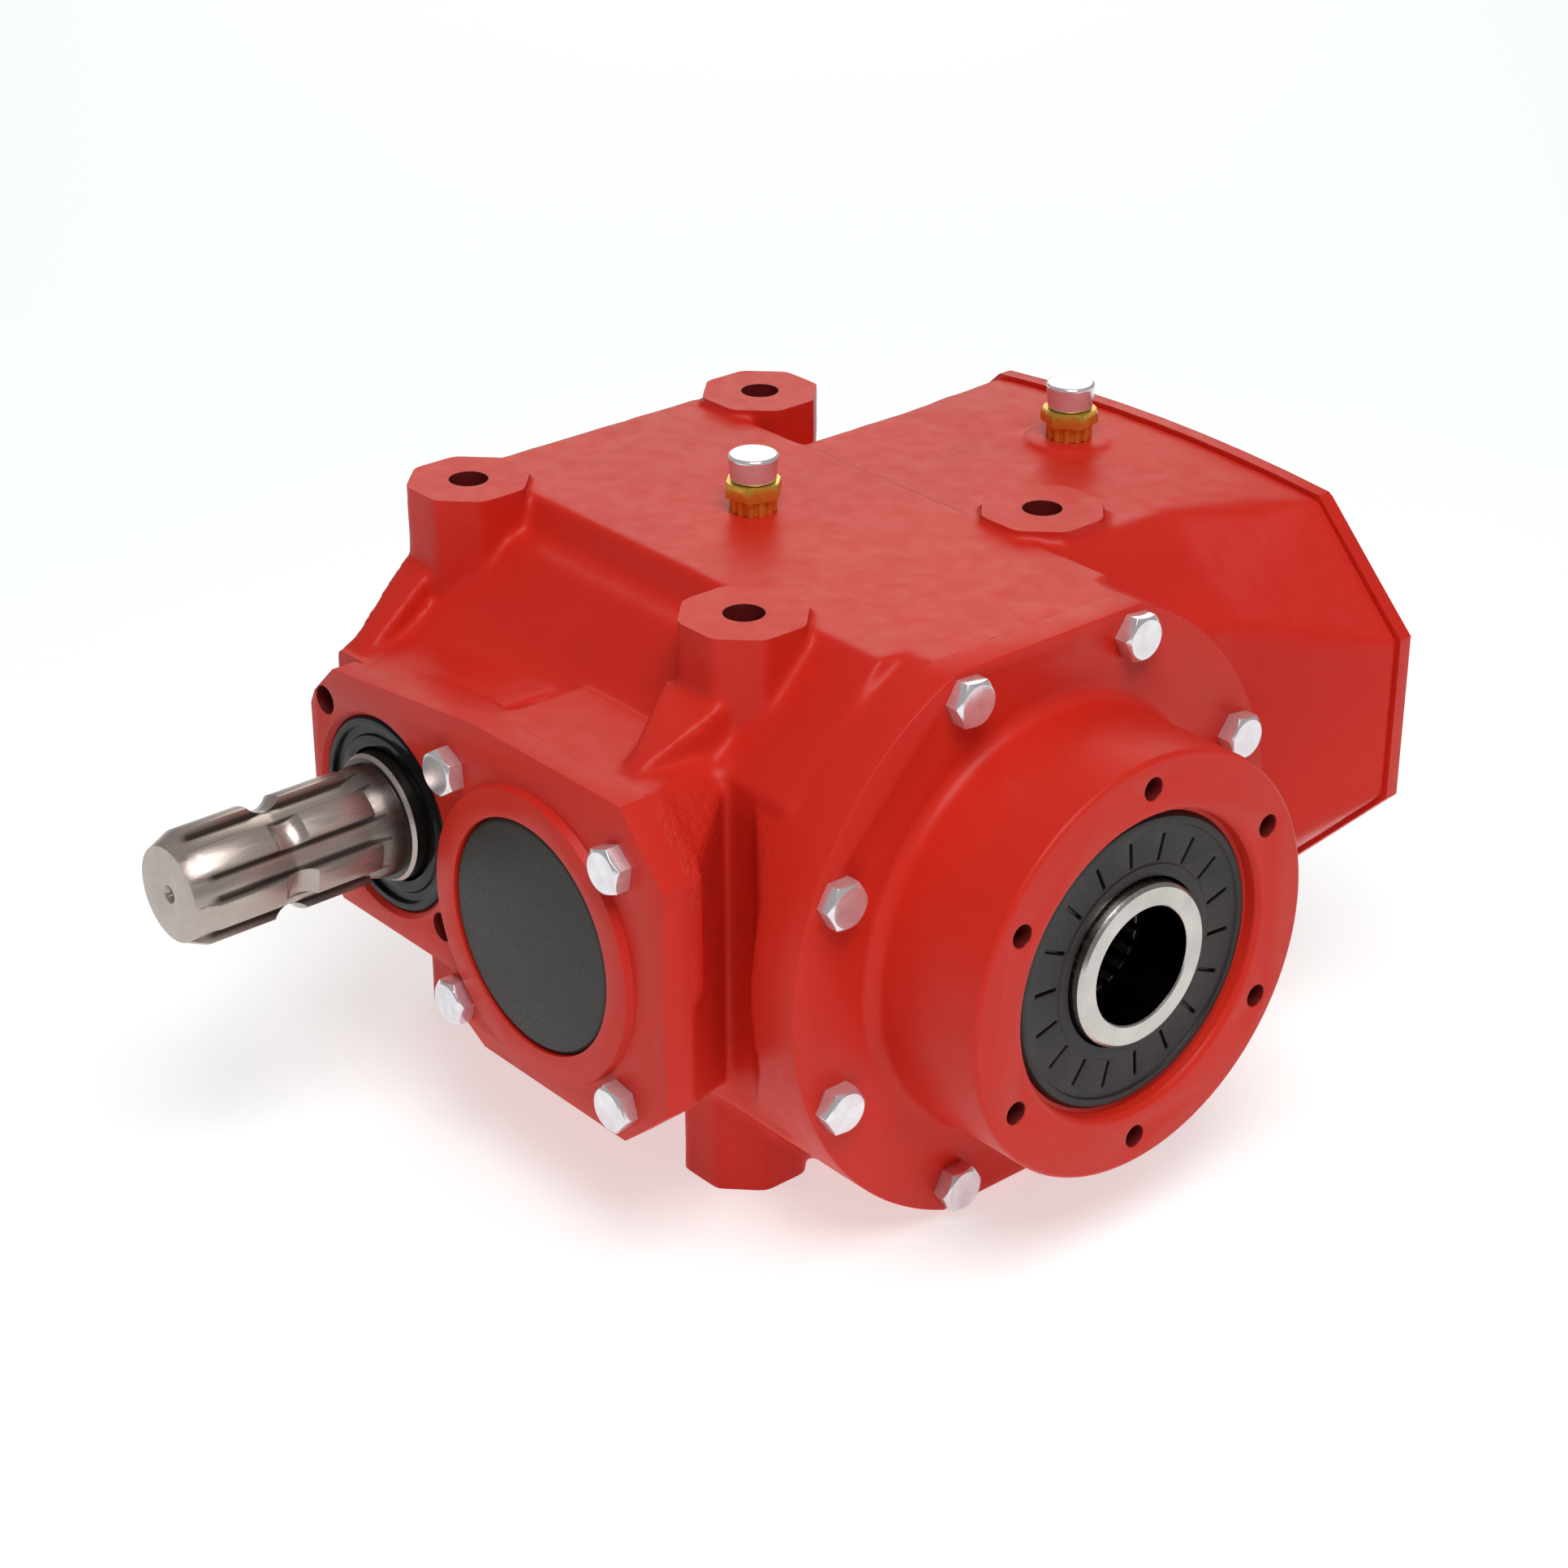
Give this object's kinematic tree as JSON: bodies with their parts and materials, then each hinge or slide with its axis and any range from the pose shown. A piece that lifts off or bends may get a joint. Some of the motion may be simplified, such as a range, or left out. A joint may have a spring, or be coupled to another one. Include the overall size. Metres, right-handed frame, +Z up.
{
  "type": "right angle bevel gearbox",
  "caption": "Right angle gearbox with an offset splined input shaft, a spur change pair, a bevel pair and a flanged hollow output shaft.",
  "frame": {"origin": "centre of the four base bosses, on the plane that they stand on", "axes": "+X towards the output flange, +Y from the splined input shaft towards the rear cover, +Z up"},
  "size_m": [0.252, 0.3385, 0.1964],
  "materials": {
    "red_paint": "satin red paint over sand cast iron",
    "gasket_paper": "oiled gasket paper",
    "zinc": "bright zinc plate",
    "black_rubber": "black nitrile rubber",
    "brown_rubber": "dark brown rubber",
    "brass": "turned brass",
    "polished_steel": "bright nickel",
    "plug_steel": "dark plated steel",
    "bearing_steel": "ground bearing steel",
    "shaft_steel": "machined shaft steel",
    "hollow_shaft_steel": "turned shaft steel",
    "gear_steel": "hardened gear steel"
  },
  "bodies": {
    "root": {"housing": "red_paint", "front_cover": "red_paint", "output_cover": "red_paint", "rear_cover": "red_paint", "front_gasket": "gasket_paper", "output_gasket": "gasket_paper", "rear_gasket": "gasket_paper", "front_cover_bolts": "zinc", "output_cover_bolts": "zinc", "rear_cover_bolts": "zinc", "access_cap": "black_rubber", "input_seal": "black_rubber", "output_seal": "brown_rubber", "front_breather_body": "brass", "rear_breather_body": "brass", "drain_plugs": "plug_steel", "level_plugs": "plug_steel", "input_front_outer_ring": "bearing_steel", "input_rear_outer_ring": "bearing_steel", "pinion_front_cup": "bearing_steel", "pinion_rear_cup": "bearing_steel", "output_inner_outer_ring": "bearing_steel", "output_end_outer_ring": "bearing_steel", "output_bearing_circlip": "bearing_steel"},
    "input": {"input_shaft": "shaft_steel", "input_front_inner_ring": "bearing_steel", "input_front_balls": "bearing_steel", "input_front_circlip": "gear_steel", "input_rear_inner_ring": "bearing_steel", "input_rear_balls": "bearing_steel", "drive_gear": "gear_steel", "drive_gear_circlip": "gear_steel"},
    "pinion": {"pinion_shaft": "gear_steel", "pinion_front_cone": "bearing_steel", "pinion_front_rollers": "bearing_steel", "pinion_spacer": "gear_steel", "pinion_rear_cone": "bearing_steel", "pinion_rear_rollers": "bearing_steel", "driven_gear": "gear_steel", "tab_washer": "gear_steel", "lock_nut": "gear_steel"},
    "output": {"hollow_shaft": "hollow_shaft_steel", "shaft_plug": "gear_steel", "crown_gear": "gear_steel", "crown_key": "gear_steel", "crown_spacer": "gear_steel", "output_inner_inner_ring": "bearing_steel", "output_inner_balls": "bearing_steel", "output_end_inner_ring": "bearing_steel", "output_end_balls": "bearing_steel"},
    "front_breather_cap": {"front_breather_cap": "polished_steel"},
    "rear_breather_cap": {"rear_breather_cap": "polished_steel"}
  },
  "joints": [
    {"name": "output_spin", "type": "hinge", "parent": "root", "child": "output", "pos_m": [0, 0, 0.09], "axis": [1, 0, 0], "continuous": true},
    {"name": "pinion_spin", "type": "hinge", "parent": "root", "child": "pinion", "pos_m": [0.0435, 0, 0.09], "axis": [0, 1, 0], "continuous": true},
    {"name": "input_spin", "type": "hinge", "parent": "root", "child": "input", "pos_m": [-0.03102, 0, 0.0985], "axis": [0, 1, 0], "continuous": true},
    {"name": "front_breather_cap_lift", "type": "slide", "parent": "root", "child": "front_breather_cap", "axis": [0, 0, 1], "range_m": [0, 0.0012], "stiffness_N_per_m": 300, "springref_m": -0.002},
    {"name": "rear_breather_cap_lift", "type": "slide", "parent": "root", "child": "rear_breather_cap", "axis": [0, 0, 1], "range_m": [0, 0.0012], "stiffness_N_per_m": 300, "springref_m": -0.002}
  ],
  "couplings": [
    {"joint": "pinion_spin", "follows": "output_spin", "ratio": -2.5},
    {"joint": "input_spin", "follows": "output_spin", "ratio": 2.7083}
  ]
}
